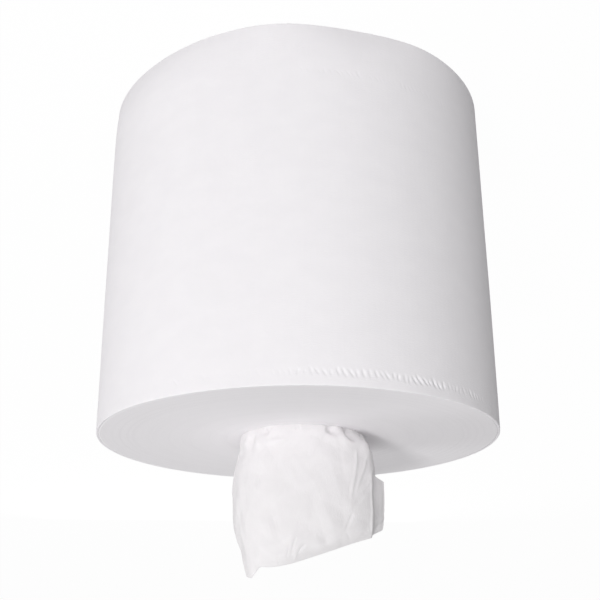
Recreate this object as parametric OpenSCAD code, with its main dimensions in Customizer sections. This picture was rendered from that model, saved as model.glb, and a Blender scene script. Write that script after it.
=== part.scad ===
// Centre-pull paper towel roll, standing on its plain end.
// The origin is the centre of the plain end, and +Z runs up the roll's axis.
// The pulled-out first sheet stands in a gathered bunch on the upper end.

/* [Roll] */
// Outer diameter of the wound roll
roll_d = 227; // [150:1:260]
// Height of the roll, which is the width of the paper web
roll_h = 203; // [150:1:260]
// Diameter of the hole left by the innermost turn
bore_d = 64; // [56:1:80]
// Softening of the outer edge at both ends
edge_r = 1.5; // [1:0.5:5]
// Softening of the hole's edge at both ends
rim_r = 1; // [0.5:0.5:3]
// Step where the glued-down end of the web laps the turn below it
lap_step = 0.6; // [0.3:0.1:1.5]

/* [Turns] */
// Radial distance between the bands of turns seen on both ends
band_pitch = 4; // [3:0.5:8]
// Width of the line between two bands
band_line_w = 0.9; // [0.5:0.1:1.4]
// Depth of the line between two bands
band_line_depth = 0.45; // [0.2:0.05:0.8]

/* [Pulled-out sheet] */
// Height of the bunch above the end face, at its middle
tail_h = 65; // [45:1:90]
// Width of the bunch, side to side
tail_w = 80; // [60:1:95]
// Thickness of the bunch, front to back
tail_t = 72; // [55:1:90]
// Rise of the cut edge from the flap's side to the corner's side
tail_rise = 18; // [0:1:28]
// Height of the sheet's free corner above the cut edge
corner_h = 6; // [3:1:14]
// How far the free corner leans out of the bunch
corner_lean = 2; // [0:0.5:3]
// How far the folded flap stands out of the bunch
flap_out = 7.2; // [3:0.1:10]
// Depth of the hollow inside the bunch's mouth
mouth_depth = 16; // [6:1:22]
// Height of the sharp folds on the bunch
fold_h = 2.2; // [0.5:0.1:3]
// Height of the soft gathers where the sheet leaves the hole
gather_h = 1.3; // [0.4:0.1:2]
// Number of soft gathers round the sheet
gather_count = 13; // [8:1:18]

/* [Throat] */
// Depth below the end face at which the sheet leaves the innermost turn
throat_depth = 58; // [45:1:80]
// Thickness of the gathered sheet where it leaves the innermost turn
throat_wall = 7; // [5:0.5:10]
// Gap between the gathered sheet and the hole's edge
throat_gap = 1.2; // [0.8:0.1:3]
// How far the gathered sheet is drawn in from the hole's wall
neck_in = 5; // [3:0.5:9]

/* [Hidden] */

roll_r = roll_d / 2;
bore_r = bore_d / 2;
// Points along each softened edge
edge_steps = 5;
// How far cutters run past the face that they cut
over = 2;
// How deep the sheet's root is let into the innermost turns
root_bite = 3;
// Plain rings are left beside the hole and beside the outer edge
plain_in = 3;
plain_out = 5;
band_in = bore_r + rim_r + plain_in;
band_out = roll_r - edge_r - plain_out;
band_count = floor((band_out - band_in) / band_pitch);

// Points round the gathered sheet, and rings up its outside
around = 80;
outer_rings = 32;
mouth_rings = 14;
under_rings = 6;
// Squareness of the bunch seen from above, where 2 is an ellipse
squareness = 2.35;

function blend(a, b, t) = a + (b - a) * t;
function clamped(t) = min(1, max(0, t));
function eased(t) = clamped(t) * clamped(t) * (3 - 2 * clamped(t));
// A smooth curve through four values, between the second and the third
function curve(p0, p1, p2, p3, t) =
    0.5 * (2 * p1 + (p2 - p0) * t
    + (2 * p0 - 5 * p1 + 4 * p2 - p3) * t * t
    + (3 * p1 - p0 - 3 * p2 + p3) * t * t * t);
// The same curve run through a list of rows, with t from 0 to 1
function along(rows, t) =
    let (last = len(rows) - 1, s = clamped(t) * last, i = min(floor(s), last - 1))
    curve(rows[max(i - 1, 0)], rows[i], rows[i + 1], rows[min(i + 2, last)], s - i);
// An angle brought between -180 and 180
function turned(a) = a - 360 * round(a / 360);
// A crest with a sharp top and straight sides
function crest(x, w) = max(0, 1 - abs(x) / w);
// 1 between lo and hi, with soft ends of width w
function band(x, lo, hi, w) = eased((x - lo) / w) * eased((hi - x) / w);
function total(v) = v * [for (i = v) 1];
function flipped(v) = [for (i = [len(v) - 1 : -1 : 0]) v[i]];

// Outline of half of the roll, with softened corners that lie towards sx and sz
function soft_corner(x, z, sx, sz, r) = [
    for (i = [0 : edge_steps])
    let (a = 90 * i / edge_steps)
    [x - sx * r * (1 - sin(a)), z - sz * r * (1 - cos(a))]
];
roll_outline = concat(
    flipped(soft_corner(bore_r, 0, -1, -1, rim_r)),
    soft_corner(roll_r, 0, 1, -1, edge_r),
    flipped(soft_corner(roll_r, roll_h, 1, 1, edge_r)),
    soft_corner(bore_r, roll_h, -1, 1, rim_r)
);

// One half of a two-centre spiral: side 0 is the half at -X, side 1 the half at +X
module half_turn(side) {
    rotate([0, 0, side == 0 ? 90 : -90])
    rotate_extrude(angle = 180, $fn = 180)
    children();
}

// The wound web, whose glued-down end makes a small step at the back
function stepped_out(outline, step) = [
    for (p = outline)
    [p[0] + (p[0] > (bore_r + roll_r) / 2 ? step : -step), p[1]]
];
module wound_body() {
    half_turn(0)
    polygon(roll_outline);
    translate([0, lap_step / 2, 0])
    half_turn(1)
    polygon(stepped_out(roll_outline, lap_step / 2));
}

// A comb of V-shaped teeth that cuts the lines between the bands of turns
function tooth(r) = [
    [r - band_line_w / 2, 0],
    [r, -band_line_depth],
    [r + band_line_w / 2, 0]
];
module band_comb(shift) {
    teeth = [for (j = [0 : band_count], p = tooth(band_in + j * band_pitch - shift)) p];
    polygon(concat(
        [[band_in - band_line_w - shift, 0]],
        teeth,
        [[band_out + band_pitch, 0], [band_out + band_pitch, over], [band_in - band_line_w - shift, over]]
    ));
}
module band_lines() {
    half_turn(0)
    band_comb(0);
    translate([0, band_pitch / 2, 0])
    half_turn(1)
    band_comb(band_pitch / 2);
}

// A level of the sheet inside the hole, at a depth and a distance in from the wall
function throat_row(depth, inset) =
    [-depth, bore_r - inset, bore_r - inset, bore_r - inset, bore_r - inset, 0];
// Height above the end face, reach to -X, +X, -Y and +Y, and share of the tilt
tail_rows = [
    throat_row(throat_depth, -root_bite),
    throat_row(0.84 * throat_depth, 0.72 * neck_in),
    throat_row(0.5 * throat_depth, neck_in),
    throat_row(0.14 * throat_depth, 0.55 * neck_in),
    throat_row(0, throat_gap),
    [0.025 * tail_h, 0.462 * tail_w, 0.4 * tail_w, 0.475 * tail_t, 0.44 * tail_t, 0],
    [0.15 * tail_h, 0.49 * tail_w, 0.425 * tail_w, 0.5 * tail_t, 0.46 * tail_t, 0.04],
    [0.31 * tail_h, 0.506 * tail_w, 0.447 * tail_w, 0.515 * tail_t, 0.47 * tail_t, 0.12],
    [0.53 * tail_h, 0.521 * tail_w, 0.458 * tail_w, 0.52 * tail_t, 0.48 * tail_t, 0.38],
    [0.75 * tail_h, 0.53 * tail_w, 0.438 * tail_w, 0.49 * tail_t, 0.46 * tail_t, 0.72],
    [0.91 * tail_h, 0.525 * tail_w, 0.39 * tail_w, 0.44 * tail_t, 0.43 * tail_t, 0.92],
    [tail_h, 0.51 * tail_w, 0.35 * tail_w, 0.37 * tail_t, 0.38 * tail_t, 1]
];
// Slopes of the cut edge, which climbs to a level stretch by the corner and falls to the back
level_from = 0.135 * tail_w;
level_soft = 0.12 * tail_w;
rise_x = tail_rise / (0.64 * tail_w + level_from);
rise_y = -0.2;

// Azimuth at the foot, azimuth at the cut edge, half width in degrees, height, and first and last level
folds = [
    [226, 231, 5, 0.8, 0.38, 0.7],
    [218, 222, 4, 0.7, 0.36, 0.68],
    [211, 212, 4, 0.6, 0.4, 0.64],
    [196, 202, 6, 0.8, 0.5, 0.95],
    [248, 222, 5, -0.6, 0.68, 0.98],
    [283, 276, 4, -0.5, 0.84, 1],
    [292, 284, 4, -0.5, 0.86, 1],
    [316, 322, 6, -0.6, 0.42, 0.62],
    [128, 120, 6, 0.9, 0.4, 0.95],
    [100, 104, 5, -0.8, 0.45, 1],
    [76, 70, 7, 1, 0.4, 0.9],
    [48, 52, 5, -0.7, 0.5, 1],
    [22, 16, 6, 0.9, 0.38, 0.85]
];
// Azimuth and half width of the free corner
corner_at = 333;
corner_half_w = 15;
// The flap's free edge, and the azimuth at which it lies flat on the bunch
flap_edge = 174;
flap_root = 112;
// Where the coiled inner layers begin, and how far towards the middle they run
coil_start = 150;
coil_from = 0.34;
coil_to = 0.8;
coil_half_w = 0.18;

function fold_at(a, t) = fold_h * total([
    for (f = folds)
    f[3] * crest(turned(a - blend(f[0], f[1], t)), f[2]) * band(t, f[4], f[5], 0.1)
]);
// The gathers are uneven, deepest at the back, shallow where they pass the hole's edge, and
// fade where the bunch puffs out
edge_level = 4 / (len(tail_rows) - 1);
function gather_at(a, t) =
    gather_h * cos(gather_count * a + 70 * sin(2 * a + 40) + 160 * t) * (0.65 + 0.35 * sin(a))
    * (band(t, 0.06, 0.6, 0.14) + 0.5 * (1 + sin(a)) * band(t, 0.45, 1.2, 0.2))
    * (1 - 0.85 * band(t, edge_level - 0.09, edge_level + 0.14, 0.07));
// The flap is a layer that stands off the bunch at its free edge, and is cut off aslant
function flap_at(a, t, h) =
    let (reach = eased((a - flap_root) / (flap_edge - flap_root)))
    flap_out * eased((flap_edge - a) / 5) * pow(reach, 1.5)
    * eased((h - 0.32 * tail_h) / (0.06 * tail_h)) * blend(1, clamped((1 - t) / 0.045), reach);
// Share of the free corner's height and lean
function corner_share(a, t) =
    band(turned(a - corner_at), -corner_half_w, corner_half_w, 0.5 * corner_half_w)
    * eased((t - 0.88) / 0.12);
// A ramp that softly turns level at level_from
function levelled(x) =
    let (past = max(0, x - level_from + level_soft))
    x - (past < 2 * level_soft ? past * past / (4 * level_soft) : past - level_soft);

// A point on the outside of the sheet, at azimuth a and level t. It is round as far as the hole's
// edge, and grows squarer above it
function skin(a, t) =
    let (
        row = along(tail_rows, t),
        reach_x = cos(a) < 0 ? row[1] : row[2],
        reach_y = sin(a) < 0 ? row[3] : row[4],
        n = blend(2, squareness, eased((t - edge_level) / 0.15)),
        k = pow(pow(abs(cos(a)), n) + pow(abs(sin(a)), n), -1 / n),
        tip = corner_share(a, t),
        push = fold_at(a, t) + gather_at(a, t) + flap_at(a, t, row[0]) + corner_lean * tip,
        x = (reach_x * k + push) * cos(a),
        y = (reach_y * k + push) * sin(a),
        tilt = row[5] * (rise_x * levelled(x) + rise_y * y)
    )
    [x, y, roll_h + row[0] + tilt + corner_h * tip];

// A point in the mouth, from the cut edge at v = 0 to the middle at v = 1
mouth_centre = [-0.04 * tail_w, 0.02 * tail_t, roll_h + tail_h];
// The layers inside are a coil, seen as one crest that winds in from the edge
function coil_at(a, v) =
    let (share = (a - coil_start) / 360, s = share - floor(share))
    eased(crest(v - blend(coil_from, coil_to, s), coil_half_w)) * band(s, 0, 1, 0.1);
function mouth(a, v) =
    let (edge = skin(a, 1) - [0, 0, corner_h * corner_share(a, 1) * eased(v / 0.12)])
    blend(edge, mouth_centre, v)
    + [0, 0, mouth_depth * (0.7 * coil_at(a, v) - eased(2.6 * v))];

// The underside of the sheet, a pleated cone seen from below through the hole
under_top = roll_h - 0.35 * throat_depth;
under_tip_r = 1.5;
function underside(a, v) =
    let (
        pleat = gather_h * cos(gather_count * a + 120 * v) * band(v, 0.12, 1, 0.2),
        r = blend(bore_r + root_bite, under_tip_r, v) + pleat,
        z = blend(roll_h - throat_depth - throat_wall, under_top, pow(v, 0.8))
    )
    [r * cos(a), r * sin(a), z];

// Rings of the whole skin, from the underside's tip out to the root, up, and into the mouth
azimuths = [for (i = [0 : around - 1]) 360 * i / around];
sheet_rings = concat(
    [for (j = [under_rings : -1 : 0]) [for (a = azimuths) underside(a, j / under_rings)]],
    [for (j = [0 : outer_rings]) [for (a = azimuths) skin(a, j / outer_rings)]],
    [for (j = [1 : mouth_rings]) [for (a = azimuths) mouth(a, j / (mouth_rings + 1))]]
);

// A closed skin over a stack of rings, with a pole point at each end
module lofted(rings, low_pole, high_pole) {
    count = len(rings);
    n = len(rings[0]);
    points = concat([low_pole], [for (ring = rings, p = ring) p], [high_pole]);
    top = len(points) - 1;
    sides = [
        for (j = [0 : count - 2], i = [0 : n - 1])
        let (
            a = 1 + j * n + i,
            b = 1 + j * n + (i + 1) % n,
            c = a + n,
            d = b + n
        )
        each [[a, c, b], [b, c, d]]
    ];
    low_fan = [for (i = [0 : n - 1]) [0, 1 + i, 1 + (i + 1) % n]];
    high_fan = [for (i = [0 : n - 1]) [top, 1 + (count - 1) * n + (i + 1) % n, 1 + (count - 1) * n + i]];
    polyhedron(points, concat(low_fan, sides, high_fan));
}

// The first sheet, gathered out of the innermost turn and up through the hole
module pulled_sheet() {
    lofted(
        sheet_rings,
        [0, 0, under_top],
        mouth_centre - [0, 0, mouth_depth]
    );
}

module towel_roll() {
    color("white")
    union() {
        difference() {
            wound_body();
            translate([0, 0, roll_h])
            band_lines();
            mirror([0, 0, 1])
            band_lines();
        }
        pulled_sheet();
    }
}

towel_roll();
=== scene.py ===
"""Looks of a coreless centre-pull roll of white paper towel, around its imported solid.

The roll stands on its plain end, with the gathered first sheet on top. Lengths in the shape
functions are millimetres, and MM turns them into scene units when a point is placed.
"""

import math

import bmesh
import bpy
from mathutils import Matrix, Vector, noise


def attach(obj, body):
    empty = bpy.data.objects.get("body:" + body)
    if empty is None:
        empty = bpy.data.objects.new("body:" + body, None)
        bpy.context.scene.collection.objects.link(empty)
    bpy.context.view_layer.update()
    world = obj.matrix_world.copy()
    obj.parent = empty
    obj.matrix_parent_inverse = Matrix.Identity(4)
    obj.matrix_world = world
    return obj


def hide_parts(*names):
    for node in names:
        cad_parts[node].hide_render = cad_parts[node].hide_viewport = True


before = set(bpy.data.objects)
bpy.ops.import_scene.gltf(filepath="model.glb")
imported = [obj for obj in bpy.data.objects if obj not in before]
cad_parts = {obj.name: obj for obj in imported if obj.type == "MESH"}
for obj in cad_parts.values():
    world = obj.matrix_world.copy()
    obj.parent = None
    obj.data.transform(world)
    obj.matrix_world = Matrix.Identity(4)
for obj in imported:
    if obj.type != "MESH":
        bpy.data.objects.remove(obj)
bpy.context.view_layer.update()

MM = 0.001

# Sizes of the roll and its sheet. The outer edge, the free corner and the flap follow the real
# paper more closely than the solid does, and the rest are the solid's own.
ROLL_R = 113.5
ROLL_H = 203.0
BORE_R = 32.0
EDGE_R = 0.35
RIM_R = 1.0
LAP_STEP = 0.6
TAIL_H = 65.0
TAIL_W = 80.0
TAIL_T = 72.0
TAIL_RISE = 18.0
CORNER_H = 6.3
FLAP_OUT = 5.3
MOUTH_DEPTH = 16.0
GATHER_H = 1.3
GATHERS = 13
THROAT_DEPTH = 58.0
THROAT_WALL = 7.0
NECK_IN = 5.0
ROOT_BITE = 3.0
SQUARENESS = 2.35


def blend(a, b, t):
    return a + (b - a) * t


def clamped(t):
    return min(1.0, max(0.0, t))


def eased(t):
    t = clamped(t)
    return t * t * (3 - 2 * t)


def crest(x, width):
    """1 on a line and 0 beyond its half width, with straight sides."""
    return max(0.0, 1 - abs(x) / width)


def dome(x, width):
    """1 on a line and 0 beyond its half width, with rounded sides."""
    return eased(1 - abs(x) / width)


def band(t, low, high, soft):
    """1 between low and high, with soft ends."""
    return eased((t - low) / soft) * eased((high - t) / soft)


def turned(angle):
    """An angle brought between -180 and 180."""
    return angle - 360 * round(angle / 360)


def along(rows, t):
    """A smooth curve through rows of numbers, with t from 0 to 1."""
    last = len(rows) - 1
    place = clamped(t) * last
    i = min(int(place), last - 1)
    f = place - i
    before, start, end, after = rows[max(i - 1, 0)], rows[i], rows[i + 1], rows[min(i + 2, last)]
    return [
        0.5 * (2 * p1 + (p2 - p0) * f + (2 * p0 - 5 * p1 + 4 * p2 - p3) * f * f
               + (3 * p1 - p0 - 3 * p2 + p3) * f * f * f)
        for p0, p1, p2, p3 in zip(before, start, end, after)
    ]


def ring_noise(azimuth, height, scale, seed):
    """Soft noise that closes on itself round the roll, from -1 to 1."""
    a = math.radians(azimuth)
    return noise.noise(Vector((math.cos(a) * scale, math.sin(a) * scale, height + 13.7 * seed)))


def placed(name, bm, material):
    """Makes an object of a bmesh, and puts it in the scene."""
    mesh = bpy.data.meshes.new(name)
    bm.to_mesh(mesh)
    bm.free()
    mesh.materials.append(material)
    thing = bpy.data.objects.new(name, mesh)
    bpy.context.scene.collection.objects.link(thing)
    return thing


def finished(name, bm, material):
    """Closes a bmesh, turns its faces outwards and makes it a piece of the roll."""
    bmesh.ops.remove_doubles(bm, verts=bm.verts, dist=1e-7)
    bmesh.ops.recalc_face_normals(bm, faces=bm.faces)
    for face in bm.faces:
        face.smooth = True
    piece = placed(name, bm, material)
    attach(piece, "root")
    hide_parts("towel_roll")
    return piece


# Tones of each paper: on average, and the darkest and lightest of its mottling
WEB_TONES = ((0.905, 0.885, 0.907), (0.897, 0.877, 0.9), (0.912, 0.892, 0.914))
TURN_TONES = ((0.88, 0.861, 0.881), (0.868, 0.848, 0.87), (0.891, 0.872, 0.892))
# The sheet is the web's own paper, so its lower tones are painted shade that stands in for less
# light on the bunch; the spread of its mottling is the paper's own
SHEET_TONES_PAINTED_SHADE = ((0.81, 0.792, 0.802), (0.8, 0.782, 0.792), (0.82, 0.802, 0.812))


def new_material(name, colour, roughness, specular):
    """A matt paper, with its shader and its object coordinates."""
    material = bpy.data.materials.new(name)
    material.use_nodes = True
    nodes = material.node_tree.nodes
    shader = nodes["Principled BSDF"]
    shader.inputs["Base Color"].default_value = (*colour, 1)
    shader.inputs["Roughness"].default_value = roughness
    shader.inputs["Specular IOR Level"].default_value = specular
    place = nodes.new("ShaderNodeTexCoord")
    return material, shader, place.outputs["Object"]


def added(material, kind, **settings):
    """A new node, with its settings written to its sockets or to the node itself."""
    node = material.node_tree.nodes.new(kind)
    for key, value in settings.items():
        if key in node.inputs:
            node.inputs[key].default_value = value
        else:
            setattr(node, key, value)
    return node


def noise_at(material, coords, scale, detail, stretch=(1, 1, 1)):
    """Noise at a scale per metre, on stretched object coordinates."""
    mapping = added(material, "ShaderNodeMapping", Scale=stretch)
    texture = added(material, "ShaderNodeTexNoise", Scale=scale, Detail=detail)
    material.node_tree.links.new(coords, mapping.inputs["Vector"])
    material.node_tree.links.new(mapping.outputs["Vector"], texture.inputs["Vector"])
    return texture.outputs["Fac"]


def tinted(material, factor, dark, light, low, high):
    """A colour ramp between two near whites."""
    ramp = added(material, "ShaderNodeValToRGB")
    ramp.color_ramp.elements[0].position = low
    ramp.color_ramp.elements[0].color = (*dark, 1)
    ramp.color_ramp.elements[1].position = high
    ramp.color_ramp.elements[1].color = (*light, 1)
    material.node_tree.links.new(factor, ramp.inputs["Fac"])
    return ramp.outputs["Color"]


def bumped(material, height, distance, strength, under=None):
    """A bumped normal, laid over another one where there is one."""
    bump = added(material, "ShaderNodeBump", Distance=distance, Strength=strength)
    material.node_tree.links.new(height, bump.inputs["Height"])
    if under is not None:
        material.node_tree.links.new(under, bump.inputs["Normal"])
    return bump.outputs["Normal"]


def web_paper():
    """The outside of the web: faint mottling, and crepe ridges that run along the roll."""
    plain, dark, light = WEB_TONES
    material, shader, coords = new_material("web_paper", plain, roughness=0.92, specular=0.12)
    links = material.node_tree.links
    mottle = noise_at(material, coords, 70, 5, (1, 1, 1.6))
    links.new(tinted(material, mottle, dark, light, 0.35, 0.65), shader.inputs["Base Color"])
    crepe = noise_at(material, coords, 380, 3, (1, 1, 4.5))
    fibres = noise_at(material, coords, 2600, 2)
    soft = bumped(material, crepe, 0.00016, 0.35)
    links.new(bumped(material, fibres, 0.0001, 0.25, soft), shader.inputs["Normal"])
    return material


def edge_paper():
    """The ends of the roll: the cut edges of the turns, as fine rings of uneven tone."""
    plain, dark, light = TURN_TONES
    material, shader, coords = new_material("turn_edges", plain, roughness=0.95, specular=0.08)
    links = material.node_tree.links
    flat = added(material, "ShaderNodeVectorMath", operation="MULTIPLY")
    flat.inputs[1].default_value = (1, 1, 0)
    radius = added(material, "ShaderNodeVectorMath", operation="LENGTH")
    line = added(material, "ShaderNodeCombineXYZ", Y=0.3, Z=0.7)
    links.new(coords, flat.inputs[0])
    links.new(flat.outputs[0], radius.inputs[0])
    links.new(radius.outputs["Value"], line.inputs["X"])
    rings = noise_at(material, line.outputs["Vector"], 700, 4)
    broad = noise_at(material, line.outputs["Vector"], 130, 2)
    mixed = added(material, "ShaderNodeMath", operation="ADD")
    links.new(rings, mixed.inputs[0])
    links.new(broad, mixed.inputs[1])
    tone = tinted(material, mixed.outputs[0], dark, light, 0.75, 1.25)
    links.new(tone, shader.inputs["Base Color"])
    fluff = noise_at(material, coords, 1500, 3)
    ringed = bumped(material, rings, 0.0002, 0.3)
    links.new(bumped(material, fluff, 0.00012, 0.3, ringed), shader.inputs["Normal"])
    return material


def sheet_paper_painted_shade():
    """The pulled-out sheet: soft two-ply tissue that lets a little light through, its tone set
    below the web's as painted shade.
    """
    plain, dark, light = SHEET_TONES_PAINTED_SHADE
    material, shader, coords = new_material("sheet_paper_painted_shade", plain, roughness=0.95, specular=0.08)
    links = material.node_tree.links
    shader.inputs["Subsurface Weight"].default_value = 0.25
    shader.inputs["Subsurface Radius"].default_value = (1, 1, 1)
    shader.inputs["Subsurface Scale"].default_value = 0.002
    mottle = noise_at(material, coords, 120, 3)
    links.new(tinted(material, mottle, dark, light, 0.3, 0.7), shader.inputs["Base Color"])
    crepe = noise_at(material, coords, 1100, 2, (1, 1, 0.35))
    fibres = noise_at(material, coords, 2600, 2)
    soft = bumped(material, crepe, 0.0002, 0.4)
    links.new(bumped(material, fibres, 0.0001, 0.35, soft), shader.inputs["Normal"])
    return material


def spun(outline, steps):
    """A closed outline of radii and heights, spun once round the roll's axis."""
    bm = bmesh.new()
    points = [bm.verts.new((r * MM, 0, z * MM)) for r, z in outline]
    ring = [bm.edges.new((points[i], points[(i + 1) % len(points)])) for i in range(len(points))]
    bmesh.ops.spin(bm, geom=points + ring, cent=(0, 0, 0), axis=(0, 0, 1), dvec=(0, 0, 0),
                   angle=2 * math.pi, steps=steps, use_merge=True)
    return bm


# The outer turn of the web: its thickness, and the steps of its rounded edges
SHELL_T = 1.6
ROUND_STEPS = 7
# How far the turn wanders from true: broad waves, ripples, and the waves of its rim
LOOSE_WAVES = 0.35
LOOSE_RIPPLES = 0.12
RIM_WAVES = 0.16
RIM_FRAY = 0.04
# The crimps: how many round the roll, columns of faces for each, and the size of one
CRIMP_COUNT = 228
CRIMP_COLUMNS = 7
CRIMP_H = 4.2
CRIMP_W = 1.1
CRIMP_SLANT = 0.36
CRIMP_DEPTH = 0.38
# Height of each row of crimps, and how strong it is
CRIMP_ROWS = ((196.3, 1.0), (30.0, 0.3))
# Azimuth and half width of the stretch where the crimps are pressed hardest
CRIMP_HARDEST_AT = 244
CRIMP_SPREAD = 46
# Noise seeds of each crimp's place, lean, size, force and height
CRIMP_SEEDS = (3.5, 5.5, 1.5, 77.75, 7.5)
# Azimuth, half width and depth of each place where the plain end's edge is crushed, and how
# high up the side and how far in from it the crushing reaches
CRUSHES = ((317, 50, 3.6), (254, 27, 3.2))
CRUSH_H = 26
CRUSH_FROM_R = 90
CRUSH_FADE = 15


def lap_at(azimuth):
    """The outer turn grows from the front round the +X side to its glued-down end at the back."""
    share = turned(azimuth - 270) / 180
    return LAP_STEP * share if share >= 0 else 0.0


def crushed_at(azimuth, z):
    """The plain end's edge is a little crushed where the roll was set down."""
    depth = sum(deep * dome(turned(azimuth - at), wide) for at, wide, deep in CRUSHES)
    return depth * clamped(1 - z / CRUSH_H) ** 2


def crimps_at(azimuth, z):
    """Small slanted marks that nip the outer plies together near both edges."""
    depth = 0.0
    pitch = 2 * math.pi * ROLL_R / CRIMP_COUNT
    for row, strength in CRIMP_ROWS:
        up = z - row
        if abs(up) < 0.5 * CRIMP_H + 1.4:
            sideways = math.radians(azimuth) * ROLL_R + CRIMP_SLANT * up
            number = round(sideways / pitch)
            place, lean, size, force, shift = (
                noise.noise(Vector((number * 0.67, row, seed))) for seed in CRIMP_SEEDS)
            off = sideways - (number + 0.42 * place) * pitch + 1.1 * lean * up
            up -= shift
            high = 0.5 * CRIMP_H * (1.15 + 0.6 * size)
            pressed = max(0, 0.3 + 1.1 * dome(turned(azimuth - CRIMP_HARDEST_AT), CRIMP_SPREAD)
                          + 0.4 * ring_noise(azimuth, row, 3, 2))
            depth += (CRIMP_DEPTH * strength * (0.85 + 1.3 * force) * pressed
                      * dome(off, CRIMP_W * (1 + 0.4 * size)) * dome(up, high))
    return depth


def outer_softness(azimuth, z):
    """The outer turns are soft, and don't lie quite true."""
    mid = z / ROLL_H
    loose = LOOSE_WAVES * ring_noise(azimuth, 1.1 * mid, 1.3, 1)
    loose += LOOSE_RIPPLES * ring_noise(azimuth, 3.5 * mid, 5, 2)
    held = 0.35 + 0.65 * eased(mid / 0.1) * eased((1 - mid) / 0.1)
    rim = RIM_WAVES * ring_noise(azimuth, 0, 17, 9) * eased((z - ROLL_H + 2.5) / 2)
    return loose * held + rim


def outer_profile():
    """Rows of the shell: down the inside, round the plain end, up the outside and back."""
    inner = ROLL_R - SHELL_T
    rows = [(inner, 150.0), (inner, 50.0), (inner, 0.5), (inner + 0.2, 0.1), (inner + 0.5, 0.0)]
    for i in range(ROUND_STEPS + 1):
        a = math.radians(90 * i / ROUND_STEPS)
        rows.append((ROLL_R - EDGE_R * (1 - math.sin(a)), EDGE_R * (1 - math.cos(a))))
    # close together where the crimps are
    heights = [8, 15, 22]
    heights += [27.6 + 0.6 * i for i in range(9)]
    heights += [38, 55, 75, 95, 115, 135, 155, 172, 185, 190]
    heights += [192.6 + 0.55 * i for i in range(14)]
    rows += [(ROLL_R, z) for z in heights]
    for i in range(ROUND_STEPS + 1):
        a = math.radians(90 * i / ROUND_STEPS)
        rows.append((ROLL_R - EDGE_R * (1 - math.cos(a)), ROLL_H - EDGE_R * (1 - math.sin(a))))
    rows += [(inner + 0.8, ROLL_H), (inner + 0.2, ROLL_H - 0.03), (inner, ROLL_H - 0.5)]
    return rows


def build_outer_turn(material):
    """A closed tube with softened ends, spun from its outline and then shaped point by point."""
    bm = spun(outer_profile(), CRIMP_COUNT)
    around = [edge for edge in bm.edges if abs(edge.verts[0].co.z - edge.verts[1].co.z) < 1e-7
              and abs(edge.verts[0].co.length - edge.verts[1].co.length) < 1e-6]
    bmesh.ops.subdivide_edges(bm, edges=around, cuts=CRIMP_COLUMNS - 1)
    for vert in bm.verts:
        x, y, z = vert.co / MM
        r = math.hypot(x, y)
        azimuth = math.degrees(math.atan2(y, x)) % 360
        share = clamped((r - ROLL_R + SHELL_T) / (SHELL_T - EDGE_R))
        if share > 0:
            moved = lap_at(azimuth) + outer_softness(azimuth, z) - crimps_at(azimuth, z)
            r += share * moved
            if z > ROLL_H - EDGE_R:
                z += share * RIM_FRAY * (1 + ring_noise(azimuth, z, 2.5, 3))
        r -= crushed_at(azimuth, z)
        a = math.radians(azimuth)
        vert.co = Vector((r * math.cos(a), r * math.sin(a), z)) * MM
    finished("outer_turn", bm, material)


# The wound turns: the pitch of the spiral bands, the width of one ring of faces, and how many
# faces go round the roll
BAND_PITCH = 4.0
RING_STEP = 0.6
RING_FACES = 240
# How far the ends wander from flat: the lines between bands, single turns, and broad waves
BAND_LINE_DEPTH = 0.045
TURN_RELIEF = 0.035
END_WAVES = 0.1
# How far the innermost turns are drawn in on the pulled end
DISH = 0.9


def build_wound_turns(material):
    """The ring of turns inside the outer one, with soft spiral bands on both ends."""
    outside = ROLL_R - SHELL_T + 0.4
    count = int((outside - BORE_R - RIM_R) / RING_STEP)
    radii = [BORE_R + RIM_R + RING_STEP * i for i in range(count)] + [outside]
    corner = [(BORE_R + RIM_R * (1 - math.cos(math.radians(a))),
               RIM_R * (1 - math.sin(math.radians(a)))) for a in (72, 54, 36, 18, 0)]
    wall = [(BORE_R, z) for z in (40.0, 90.0, 140.0, 165.0, 185.0)]
    outline = [(r, 0.0) for r in reversed(radii)] + corner + wall
    outline += [(r, ROLL_H - z) for r, z in reversed(corner)] + [(r, ROLL_H) for r in radii]
    bm = spun(outline, RING_FACES)
    for vert in bm.verts:
        x, y, z = vert.co / MM
        r = math.hypot(x, y)
        a = math.atan2(y, x)
        end = 1 if z > ROLL_H - 0.1 else -1 if z < 0.1 else 0
        inside = clamped((r - BORE_R - RIM_R) / 3) * clamped((outside - r) / 9)
        if end and inside > 0:
            phase = r / BAND_PITCH - math.degrees(a) / 360
            uneven = 0.4 + 1.2 * clamped(0.5 + noise.noise(Vector((r * 0.09, 3.1, end))))
            line = dome(phase - round(phase), 0.2)
            turn = noise.noise(Vector((r * 0.21, 0.5 * math.cos(a), 0.5 * math.sin(a) + 4 * end)))
            broad = noise.noise(Vector((x * 0.018, y * 0.018, 9 + end)))
            relief = BAND_LINE_DEPTH * line * uneven - TURN_RELIEF * turn - END_WAVES * broad
            z -= end * inside * relief
        if z > ROLL_H - RIM_R - 0.5:
            z -= DISH * clamped((outside - r) / (outside - BORE_R)) ** 2
        if z < 1 and r > CRUSH_FROM_R:
            share = clamped((r - CRUSH_FROM_R) / CRUSH_FADE)
            inwards = 1 - crushed_at(math.degrees(a), z) * share / r
            x, y = x * inwards, y * inwards
        vert.co = Vector((x, y, z)) * MM
    finished("wound_turns", bm, material)


def throat_row(depth, inset):
    """A round row of the sheet inside the hole, drawn in from the hole's wall."""
    reach = BORE_R - inset
    return [-depth, reach, reach, reach, reach, 0]


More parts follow.
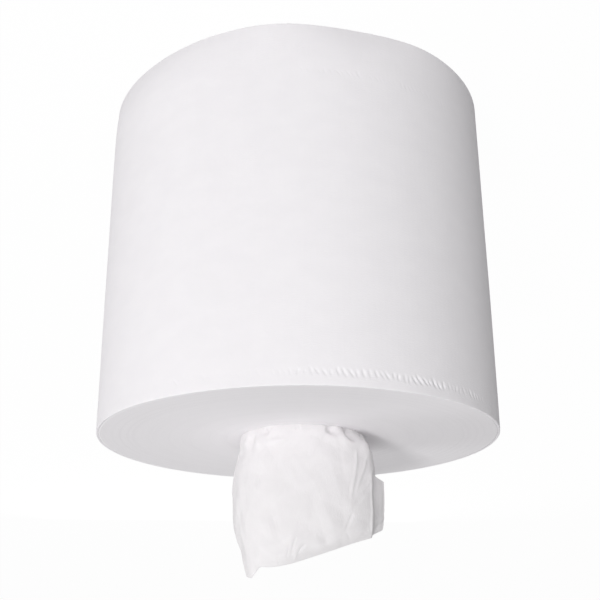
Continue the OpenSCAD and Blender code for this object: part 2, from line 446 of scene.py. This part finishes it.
# Height above the end face, reach to -X, +X, -Y and +Y, and share of the tilt
TAIL_ROWS = [
    throat_row(THROAT_DEPTH, -ROOT_BITE),
    throat_row(0.84 * THROAT_DEPTH, 0.72 * NECK_IN),
    throat_row(0.5 * THROAT_DEPTH, NECK_IN),
    throat_row(0.14 * THROAT_DEPTH, 0.55 * NECK_IN),
    throat_row(1.6, 0.1),
] + [
    [h * TAIL_H, left * TAIL_W, right * TAIL_W, front * TAIL_T, back * TAIL_T, tilt]
    for h, left, right, front, back, tilt in (
        (-0.018, 0.468, 0.411, 0.49, 0.455, 0),
        (0.05, 0.488, 0.412, 0.491, 0.458, 0.01),
        (0.15, 0.512, 0.415, 0.503, 0.462, 0.04),
        (0.31, 0.524, 0.443, 0.515, 0.47, 0.12),
        (0.53, 0.525, 0.458, 0.52, 0.48, 0.38),
        (0.75, 0.528, 0.438, 0.49, 0.46, 0.72),
        (0.91, 0.515, 0.39, 0.44, 0.43, 0.92),
        (1, 0.494, 0.35, 0.37, 0.38, 1),
    )
]
# Level of the row that lies on the hole's edge, from 0 at the throat to 1 at the cut edge
EDGE_LEVEL = 5 / (len(TAIL_ROWS) - 1)
# The cut edge rises towards +X and levels off there: from where, how softly, and its slopes
LEVEL_FROM = 0.135 * TAIL_W
LEVEL_SOFT = 0.12 * TAIL_W
RISE_X = 1.05 * TAIL_RISE / (0.64 * TAIL_W + LEVEL_FROM)
RISE_Y = -0.2
# The free corner: azimuth, half width in degrees, and how far it leans out
CORNER_AT = 333
CORNER_HALF_W = 15
CORNER_LEAN = 1.2
# The upright edge between the flat front and the flap: azimuth, and how far it stands out low
# down and at the cut edge
FRONT_EDGE = 213
FRONT_EDGE_OUT = (2.6, 4.4)
# The flap: azimuths of its side by the front edge, of its outer corner and of where it merges
# with the bunch, share of the height at which it starts, slant of that side, and its hem
FLAP_FRONT = 206
FLAP_EDGE = 192
FLAP_ROOT = 112
FLAP_LOW = 0.345
FLAP_SLANT = 3.2
FLAP_HEM = 0.3

# Broad folds: azimuth at the foot and at the cut edge, half width in degrees, height,
# and first and last level
BROAD_FOLDS = (
    (316, 322, 6, -1.0, 0.42, 0.62),
    (128, 120, 6, 2.0, 0.4, 0.95),
    (100, 104, 5, -1.8, 0.45, 1),
    (76, 70, 7, 2.2, 0.4, 0.9),
    (48, 52, 5, -1.5, 0.5, 1),
    (30, 26, 6, 2.0, 0.38, 0.85),
)
# Fine folds, from end to end: azimuth and height above the end face of both ends, half width
# and height, both in millimetres
FINE_FOLDS = (
    (231.5, 38, 225.0, 13, 1.0, 0.4),
    (227.0, 34, 215.0, 14, 1.0, 0.35),
    (216.0, 30, 206.0, 17, 1.1, 0.4),
    (232.0, 58.5, 236.0, 54.8, 0.8, -0.25),
    (236.0, 54.8, 230.5, 46, 0.8, -0.35),
    (231.0, 43.5, 215.0, 31.5, 1.1, -0.4),
    (213.0, 54, 212.5, 26, 0.8, 0.4),
    (205.0, 50.5, 191.0, 45.0, 1.6, 0.5),
    (272.3, 67.4, 266.0, 62.4, 0.8, -0.8),
    (277.0, 66.6, 273.2, 59.8, 0.8, -0.9),
    (274.5, 69.5, 270.5, 65.5, 0.9, 0.6),
    (281.5, 68.5, 279.5, 63.5, 0.8, -0.6),
    (291.0, 71.6, 288.5, 68.4, 0.9, -0.7),
    (305.5, 32.1, 304.0, 25.7, 1.5, -0.8),
    (288.5, 60.2, 292.5, 47.4, 2.2, -0.45),
    (314.0, 5.6, 301.5, 10.6, 3.2, 0.9),
    (281.0, 6.5, 297.5, 8.4, 2.4, 0.8),
    (262.0, 55.2, 248.0, 60.9, 3.6, -0.7),
    (178.0, 22, 184.0, 6, 2.4, 0.9),
    (185.0, 56, 178.0, 37, 1.3, 0.5),
    (181.0, 44, 168.0, 31, 1.5, -0.8),
    (168.0, 58, 172.0, 43, 1.6, -0.9),
    (172.0, 26, 160.0, 8, 1.6, 0.9),
    (142.0, 44, 152.0, 15, 1.7, 1.0),
    (150.0, 60, 158.0, 24, 2.2, 1.3),
    (112.0, 58, 106.0, 8, 2.4, 1.6),
    (92.0, 52, 97.0, 12, 2.0, -1.4),
    (84.0, 34, 80.0, 6, 2.2, 1.3),
    (61.0, 60, 66.0, 24, 2.0, 1.5),
    (44.0, 40, 38.0, 8, 2.2, -1.3),
    (31.0, 66, 36.0, 40, 1.8, 1.2),
    (14.0, 52, 19.0, 16, 2.4, 1.4),
    (353.0, 32, 356.0, 8, 2.0, 0.9),
    (326.0, 62, 332.0, 36, 1.8, 0.35),
)
# Radius of the sheet when it is unrolled, for widths along it
FOLD_ARC = 38.0


def front_edge_at(azimuth, t):
    """The flat front of the bunch ends on its -X side in an upright edge, just before the flap."""
    off = turned(azimuth - FRONT_EDGE)
    out = blend(*FRONT_EDGE_OUT, eased((t - 0.8) / 0.2))
    return (out * crest(off, 25) - 0.6 * dome(off + 11, 8)) * band(t, 0.46, 1.4, 0.1)


def broad_folds_at(azimuth, t):
    """Soft upright folds, each about a finger wide."""
    return sum(
        high * dome(turned(azimuth - blend(foot, edge, t)), 1.3 * wide) * band(t, low, top, 0.1)
        for foot, edge, wide, high, low, top in BROAD_FOLDS
    )


def fine_folds_at(azimuth, h):
    """Sharp-topped folds, each along a straight line on the unrolled sheet."""
    total = 0.0
    for a0, h0, a1, h1, wide, high in FINE_FOLDS:
        x = math.radians(turned(azimuth - a0)) * FOLD_ARC
        run = math.radians(turned(a1 - a0)) * FOLD_ARC
        rise = h1 - h0
        length = math.hypot(run, rise)
        if abs(x) > length + 3 * wide or not min(h0, h1) - 8 < h < max(h0, h1) + 8:
            continue
        ahead = (x * run + (h - h0) * rise) / length
        aside = (x * rise - (h - h0) * run) / length
        fade = eased((ahead + 2.5) / 5) * eased((length + 2.5 - ahead) / 5)
        if fade > 0 and abs(aside) < 1.8 * wide:
            total += high * fade * (0.6 * crest(aside, wide) + 0.4 * dome(aside, 1.8 * wide))
    return total


# Dents and lobes of the foot where it lies on the hole's edge: azimuth, height above the end
# face, half width and half height in millimetres, and how far out
FOOT_SHAPES = (
    (243, 1.5, 3.2, 3.4, -2.4),
    (226, 3.0, 3.6, 4.2, -2.8),
    (234, 4.0, 3.0, 6.0, 0.8),
    (271, 1.2, 2.0, 1.8, -0.8),
    (283, 3.0, 5.0, 4.0, 0.7),
    (300, 2.0, 2.4, 2.6, -1.0),
    (320, 2.6, 7.0, 3.4, 0.2),
    (333, 11.0, 7.0, 5.0, -0.9),
    (344, 2.4, 5.5, 3.4, 0.1),
    (354, 1.0, 2.4, 2.4, -0.9),
    (205, 2.5, 3.5, 4.0, -1.6),
    (160, 2.5, 4.0, 4.0, -1.8),
    (118, 2.5, 4.0, 4.0, -2.0),
    (82, 2.5, 4.0, 4.0, -2.0),
    (40, 2.5, 4.0, 4.0, -1.8),
)
# Radius of the foot, for widths along it
FOOT_ARC = 35


def foot_at(azimuth, h):
    """Dents, lobes and a slight unevenness where the sheet leaves the hole."""
    total = 0.0
    if abs(h - 5) < 12:
        for at, up, wide, high, out in FOOT_SHAPES:
            across = math.radians(turned(azimuth - at)) * FOOT_ARC / wide
            above = (h - up) / high
            total += out * eased(1 - math.hypot(across, above) * 0.8)
        total += 0.55 * ring_noise(azimuth, 0.12 * h, 5, 8) * eased(1 - abs(h - 1) / 6)
    return total


# Straight creases of the crumpled paper: direction, spacing and height, in millimetres
CRUMPLES = ((24, 15, 0.5), (68, 11, 0.42), (118, 13, 0.46), (151, 9, 0.28), (95, 21, 0.6))


def crumple_at(azimuth, h):
    """Low facets, as in paper that was crushed in a hand and opened again."""
    a = math.radians(azimuth)
    place = Vector((math.cos(a), math.sin(a), h / FOLD_ARC))
    s = a * FOLD_ARC + 5 * noise.noise(place * 2.1 + Vector((0, 0, 31.4)))
    u = h + 5 * noise.noise(place * 2.1 + Vector((0, 0, 57.9)))
    total = 0.0
    for i, (direction, spacing, high) in enumerate(CRUMPLES):
        d = math.radians(direction)
        wave = (s * math.sin(d) + u * math.cos(d)) / spacing
        facet = 2 * abs(wave - round(wave)) - 0.5
        here = clamped(0.5 + 1.6 * noise.noise(place * 1.7 + Vector((0, 0, 7.3 * i))))
        total += high * facet * here
    # the waves don't close round the sheet, so they fade out at the back seam
    return total * eased(azimuth / 14) * eased((360 - azimuth) / 14)


def gather_at(azimuth, t):
    """Soft gathers, deepest at the back, that fade where the bunch puffs out."""
    a = math.radians(azimuth)
    wave = math.cos(GATHERS * a + math.radians(70) * math.sin(2 * a + math.radians(40))
                    + math.radians(160) * t)
    where = band(t, 0.06, 0.6, 0.14) + 0.5 * (1 + math.sin(a)) * band(t, 0.45, 1.2, 0.2)
    rim = 1 - 0.85 * band(t, EDGE_LEVEL - 0.09, EDGE_LEVEL + 0.14, 0.07)
    return GATHER_H * wave * (0.65 + 0.35 * math.sin(a)) * where * rim


def flap_at(azimuth, h, t):
    """The flap is a flat panel behind the front edge, folded back at its outer corner."""
    edge = clamped((FLAP_FRONT - azimuth) / (FLAP_FRONT - FLAP_EDGE))
    hem = FLAP_HEM * dome(azimuth - FLAP_EDGE, 1.6)
    reach = clamped((azimuth - FLAP_ROOT) / (FLAP_EDGE - FLAP_ROOT))
    cut = blend(1, clamped((1 - t) / 0.045), eased(reach))
    out = FLAP_OUT * blend(1.12, 0.88, clamped((t - 0.5) / 0.5))
    low = (FLAP_LOW - 0.2 * (1 - reach)) * TAIL_H + FLAP_SLANT * edge * reach
    soft = (0.045 + 0.22 * (1 - reach)) * TAIL_H
    return (out * edge * eased(reach) ** 1.5 + hem) * eased((h - low) / soft) * cut


def corner_at(azimuth, t):
    """How much of the free corner is here, from 0 beside it to 1 at its tip."""
    off = turned(azimuth - CORNER_AT)
    off = min(0.0, off + 5) or max(0.0, off - 5)
    point = eased(1 + off / 17) if off < 0 else clamped(1 - (off / (CORNER_HALF_W - 5)) ** 2.2)
    return point * eased((t - 0.88) / 0.12)


def skin(azimuth, t):
    """A point on the outside of the sheet, in millimetres."""
    a = math.radians(azimuth)
    row = along(TAIL_ROWS, t)
    c, s = math.cos(a), math.sin(a)
    n = blend(2, SQUARENESS, eased((t - EDGE_LEVEL) / 0.15))
    k = (abs(c) ** n + abs(s) ** n) ** (-1 / n)
    reach_x = row[1] if c < 0 else row[2]
    reach_y = row[3] if s < 0 else row[4]
    x, y = reach_x * k * c, reach_y * k * s
    past = max(0.0, x - LEVEL_FROM + LEVEL_SOFT)
    level = x - (past * past / (4 * LEVEL_SOFT) if past < 2 * LEVEL_SOFT else past - LEVEL_SOFT)
    tilt = row[5] * (RISE_X * level + RISE_Y * y)
    h = row[0] + tilt
    puffed = eased((t - EDGE_LEVEL - 0.02) / 0.12)
    tip = corner_at(azimuth, t)
    push = gather_at(azimuth, t) + flap_at(azimuth, row[0], t)
    push += CORNER_LEAN * tip + foot_at(azimuth, h) + puffed * (
        front_edge_at(azimuth, t) + broad_folds_at(azimuth, t) + fine_folds_at(azimuth, h)
        + crumple_at(azimuth, h))
    return Vector((x + push * c, y + push * s, ROLL_H + h + CORNER_H * tip))


MOUTH_CENTRE = Vector((-0.04 * TAIL_W, 0.02 * TAIL_T, ROLL_H + TAIL_H))
# Share of the way to the middle, and depth, from the cut edge inwards
MOUTH_ROWS = [
    [0.0, 0.0], [0.006, 0.1], [0.013, 0.5], [0.022, 3.0], [0.06, 9.0], [0.13, 14.0],
    [0.26, 16.0], [0.45, 16.5], [0.7, 16.0], [0.85, 15.6], [1.0, 15.5],
]


def mouth(azimuth, edge, v):
    """A point in the hollow of the bunch, inside its cut edge."""
    share, depth = along(MOUTH_ROWS, v)
    edge = edge - Vector((0, 0, CORNER_H * corner_at(azimuth, 1) * eased(share / 0.12)))
    a = math.radians(azimuth)
    inner = edge.lerp(MOUTH_CENTRE, share)
    crush = noise.noise(Vector((inner.x * 0.09, inner.y * 0.09, 4.2)))
    ridge = 1 - 2.4 * abs(noise.noise(Vector((inner.x * 0.13, inner.y * 0.13, 8.6))))
    fine = 1 - 2.4 * abs(noise.noise(Vector((inner.x * 0.3, inner.y * 0.3, 2.1))))
    pleat = 0.9 * math.cos(GATHERS * a + 9 * share) * band(share, 0.03, 0.5, 0.2)
    crumpled = 2.6 * crush + 1.8 * ridge + 0.7 * fine + pleat
    inner.z -= depth - crumpled * eased((share - 0.03) / 0.2)
    return inner


def underside(azimuth, v):
    """A point on the underside, a pleated cone that is seen from below through the hole."""
    a = math.radians(azimuth)
    pleat = GATHER_H * math.cos(GATHERS * a + math.radians(120) * v) * band(v, 0.12, 1, 0.2)
    place = Vector((2.4 * math.cos(a), 2.4 * math.sin(a), 5 * v))
    crush = 0.8 * noise.noise(place) * band(v, 0.05, 1, 0.2)
    r = blend(BORE_R + ROOT_BITE, 1.5, v) + pleat + crush
    z = blend(ROLL_H - THROAT_DEPTH - THROAT_WALL, ROLL_H - 0.35 * THROAT_DEPTH, v ** 0.8)
    return Vector((r * math.cos(a), r * math.sin(a), z))


# Levels of the grid for the underside, the outside and the mouth
UNDER_LEVELS = 20
SKIN_LEVELS = 170
MOUTH_LEVELS = 46
# Columns of the grid: start, end and how many, closer together at the flap's edge
COLUMN_RUNS = ((0, 184, 152), (184, 200, 44), (200, 360, 200))


def build_pulled_sheet(material):
    """A grid rolled up into a closed skin: underside, outside of the bunch, and its mouth."""
    azimuths = [0.0]
    for start, end, count in COLUMN_RUNS:
        azimuths += [blend(start, end, (i + 1) / count) for i in range(count)]
    columns = len(azimuths) - 1
    levels = UNDER_LEVELS + SKIN_LEVELS + MOUTH_LEVELS
    edges = [skin(azimuth, 1) for azimuth in azimuths]
    bm = bmesh.new()
    bmesh.ops.create_grid(bm, x_segments=columns, y_segments=levels, size=0.5)
    for vert in bm.verts:
        i = round((vert.co.x + 0.5) * columns)
        j = round((vert.co.y + 0.5) * levels)
        azimuth = azimuths[i] % 360
        if j == 0:
            point = Vector((0, 0, ROLL_H - 0.35 * THROAT_DEPTH))
        elif j < UNDER_LEVELS:
            point = underside(azimuth, 1 - j / UNDER_LEVELS)
        elif j <= UNDER_LEVELS + SKIN_LEVELS:
            point = skin(azimuth, (j - UNDER_LEVELS) / SKIN_LEVELS)
        else:
            v = (j - UNDER_LEVELS - SKIN_LEVELS) / MOUTH_LEVELS
            point = mouth(azimuth, edges[i % columns], v)
        vert.co = point * MM
    finished("pulled_sheet", bm, material)


# The ribbon of inner layers: columns, levels, first azimuth, sweep in degrees and thickness
RIBBON_COLUMNS = 640
RIBBON_LEVELS = 14
RIBBON_START = 150.0
RIBBON_SWEEP = 850.0
RIBBON_T = 0.9


def build_inner_layers(material):
    """The layers that wind in inside the bunch, as one thin ribbon in the mouth."""
    bm = bmesh.new()
    bmesh.ops.create_grid(bm, x_segments=RIBBON_COLUMNS, y_segments=RIBBON_LEVELS, size=0.5)
    for vert in bm.verts:
        u = vert.co.x + 0.5
        v = vert.co.y + 0.5
        azimuth = (RIBBON_START + RIBBON_SWEEP * u) % 360
        share = blend(0.15, 0.86, u ** 0.9) + 0.04 * noise.noise(Vector((26 * u, 0.6 * v, 4.4)))
        share += 0.022 * noise.noise(Vector((70 * u, 1.2 * v, 1.7))) - 0.06 * (1 - v) * u
        edge = skin(azimuth, 1)
        edge.z -= CORNER_H * corner_at(azimuth, 1)
        point = edge.lerp(MOUTH_CENTRE, share)
        low = point.z - MOUTH_DEPTH - 2
        high = point.z - 1.5 - 5.5 * u + 2.2 * noise.noise(Vector((17 * u, 3.3, 6.1)))
        high -= 6 * eased((u - 0.9) / 0.1) + 3 * eased((0.06 - u) / 0.06)
        lean = 1.4 * noise.noise(Vector((point.x * 0.12, point.y * 0.12, v * 1.3)))
        a = math.radians(azimuth)
        point.z = blend(low, high, v)
        point += Vector((math.cos(a), math.sin(a), 0)) * lean * v
        vert.co = point * MM
    piece = finished("inner_layers", bm, material)
    wall = piece.modifiers.new("ply_thickness", "SOLIDIFY")
    wall.thickness = RIBBON_T * MM
    wall.offset = 0


# The camera's place, lens, shift, downward tilt and turn round its own line of sight
CAMERA_AT = (0, -0.5645, 0.3338)
CAMERA_LENS = 60.18
CAMERA_SHIFT = 2.5 / 600
CAMERA_TILT = 21.02
CAMERA_TURN = 180 - 0.327
# The point that all lamps look at
LAMP_TARGET = (0, 0, 0.13)
# Each lamp's azimuth from -Y towards +X, elevation, distance, size and power
LAMPS = (
    ("key_lamp", 24, 34, 3.0, 0.6, 23.0),
    ("front_lamp", 3, 6, 3.0, 0.8, 33.5),
    ("side_lamp", 104, 16, 3.0, 1.1, 23.5),
    ("top_lamp", 0, 75, 1.6, 0.6, 3.2),
    ("back_lamp", 175, 8, 1.6, 0.8, 5.5),
)
# Strength of the even light from all round
AMBIENT = 0.34
# Share of plain white in the floor as it is seen, which leaves a light shadow
FLOOR_GLOW = 0.97
# How much light the floor throws back on the roll
FLOOR_TONE = 0.42
FLOOR_R = 9


def place_camera():
    """The camera is turned half round, so that the sheet hangs down in the picture."""
    data = bpy.data.cameras.new("camera")
    data.sensor_width = 36
    data.lens = CAMERA_LENS
    data.shift_x = CAMERA_SHIFT
    camera = bpy.data.objects.new("camera", data)
    bpy.context.scene.collection.objects.link(camera)
    camera.matrix_world = (Matrix.Translation(CAMERA_AT)
                           @ Matrix.Rotation(math.radians(90 - CAMERA_TILT), 4, "X")
                           @ Matrix.Rotation(math.radians(CAMERA_TURN), 4, "Z"))
    bpy.context.scene.camera = camera


def place_lamp(name, azimuth, elevation, distance, size, watts):
    """A square area lamp that looks at the middle of the roll, by its azimuth from -Y to +X."""
    data = bpy.data.lights.new(name, "AREA")
    data.shape = "SQUARE"
    data.size = size
    data.energy = watts
    lamp = bpy.data.objects.new(name, data)
    bpy.context.scene.collection.objects.link(lamp)
    a, e = math.radians(azimuth), math.radians(elevation)
    offset = Vector((math.sin(a) * math.cos(e), -math.cos(a) * math.cos(e), math.sin(e)))
    lamp.location = Vector(LAMP_TARGET) + offset * distance
    lamp.rotation_euler = offset.to_track_quat("Z", "Y").to_euler()


def seen_directly(tree):
    """1 for rays that show the background itself: from the camera, in gloss or through glass."""
    path = tree.nodes.new("ShaderNodeLightPath")
    value = path.outputs["Is Camera Ray"]
    for name in ("Is Glossy Ray", "Is Transmission Ray"):
        either = tree.nodes.new("ShaderNodeMath")
        either.operation = "MAXIMUM"
        tree.links.new(value, either.inputs[0])
        tree.links.new(path.outputs[name], either.inputs[1])
        value = either.outputs[0]
    return value


def make_world():
    """Even light on the roll, and plain white where the background itself is seen."""
    world = bpy.data.worlds.new("studio")
    bpy.context.scene.world = world
    world.use_nodes = True
    tree = world.node_tree
    plain = tree.nodes["Background"]
    plain.inputs["Color"].default_value = (1, 1, 1, 1)
    plain.inputs["Strength"].default_value = AMBIENT
    white = tree.nodes.new("ShaderNodeBackground")
    white.inputs["Color"].default_value = (1, 1, 1, 1)
    white.inputs["Strength"].default_value = 1
    mix = tree.nodes.new("ShaderNodeMixShader")
    tree.links.new(seen_directly(tree), mix.inputs[0])
    tree.links.new(plain.outputs[0], mix.inputs[1])
    tree.links.new(white.outputs[0], mix.inputs[2])
    tree.links.new(mix.outputs[0], tree.nodes["World Output"].inputs["Surface"])


def make_floor():
    """A wide pale floor that is seen nearly white, and keeps the roll's soft shadow."""
    material = bpy.data.materials.new("floor_white")
    material.use_nodes = True
    tree = material.node_tree
    shader = tree.nodes["Principled BSDF"]
    seen = seen_directly(tree)
    tone = tree.nodes.new("ShaderNodeMapRange")
    tone.inputs["To Min"].default_value = FLOOR_TONE
    tone.inputs["To Max"].default_value = 1
    tree.links.new(seen, tone.inputs["Value"])
    tree.links.new(tone.outputs[0], shader.inputs["Base Color"])
    shader.inputs["Roughness"].default_value = 1
    shader.inputs["Specular IOR Level"].default_value = 0
    glow = tree.nodes.new("ShaderNodeEmission")
    glow.inputs["Color"].default_value = (1, 1, 1, 1)
    glow.inputs["Strength"].default_value = 1
    share = tree.nodes.new("ShaderNodeMath")
    share.operation = "MULTIPLY"
    share.inputs[1].default_value = FLOOR_GLOW
    mix = tree.nodes.new("ShaderNodeMixShader")
    tree.links.new(seen, share.inputs[0])
    tree.links.new(share.outputs[0], mix.inputs[0])
    tree.links.new(shader.outputs[0], mix.inputs[1])
    tree.links.new(glow.outputs[0], mix.inputs[2])
    tree.links.new(mix.outputs[0], tree.nodes["Material Output"].inputs["Surface"])
    bm = bmesh.new()
    bmesh.ops.create_circle(bm, cap_ends=True, segments=96, radius=FLOOR_R)
    placed("floor", bm, material)


place_camera()
make_world()
make_floor()
for lamp_settings in LAMPS:
    place_lamp(*lamp_settings)
bpy.context.scene.view_settings.view_transform = "Standard"

build_outer_turn(web_paper())
build_wound_turns(edge_paper())
sheet_material = sheet_paper_painted_shade()
build_pulled_sheet(sheet_material)
build_inner_layers(sheet_material)
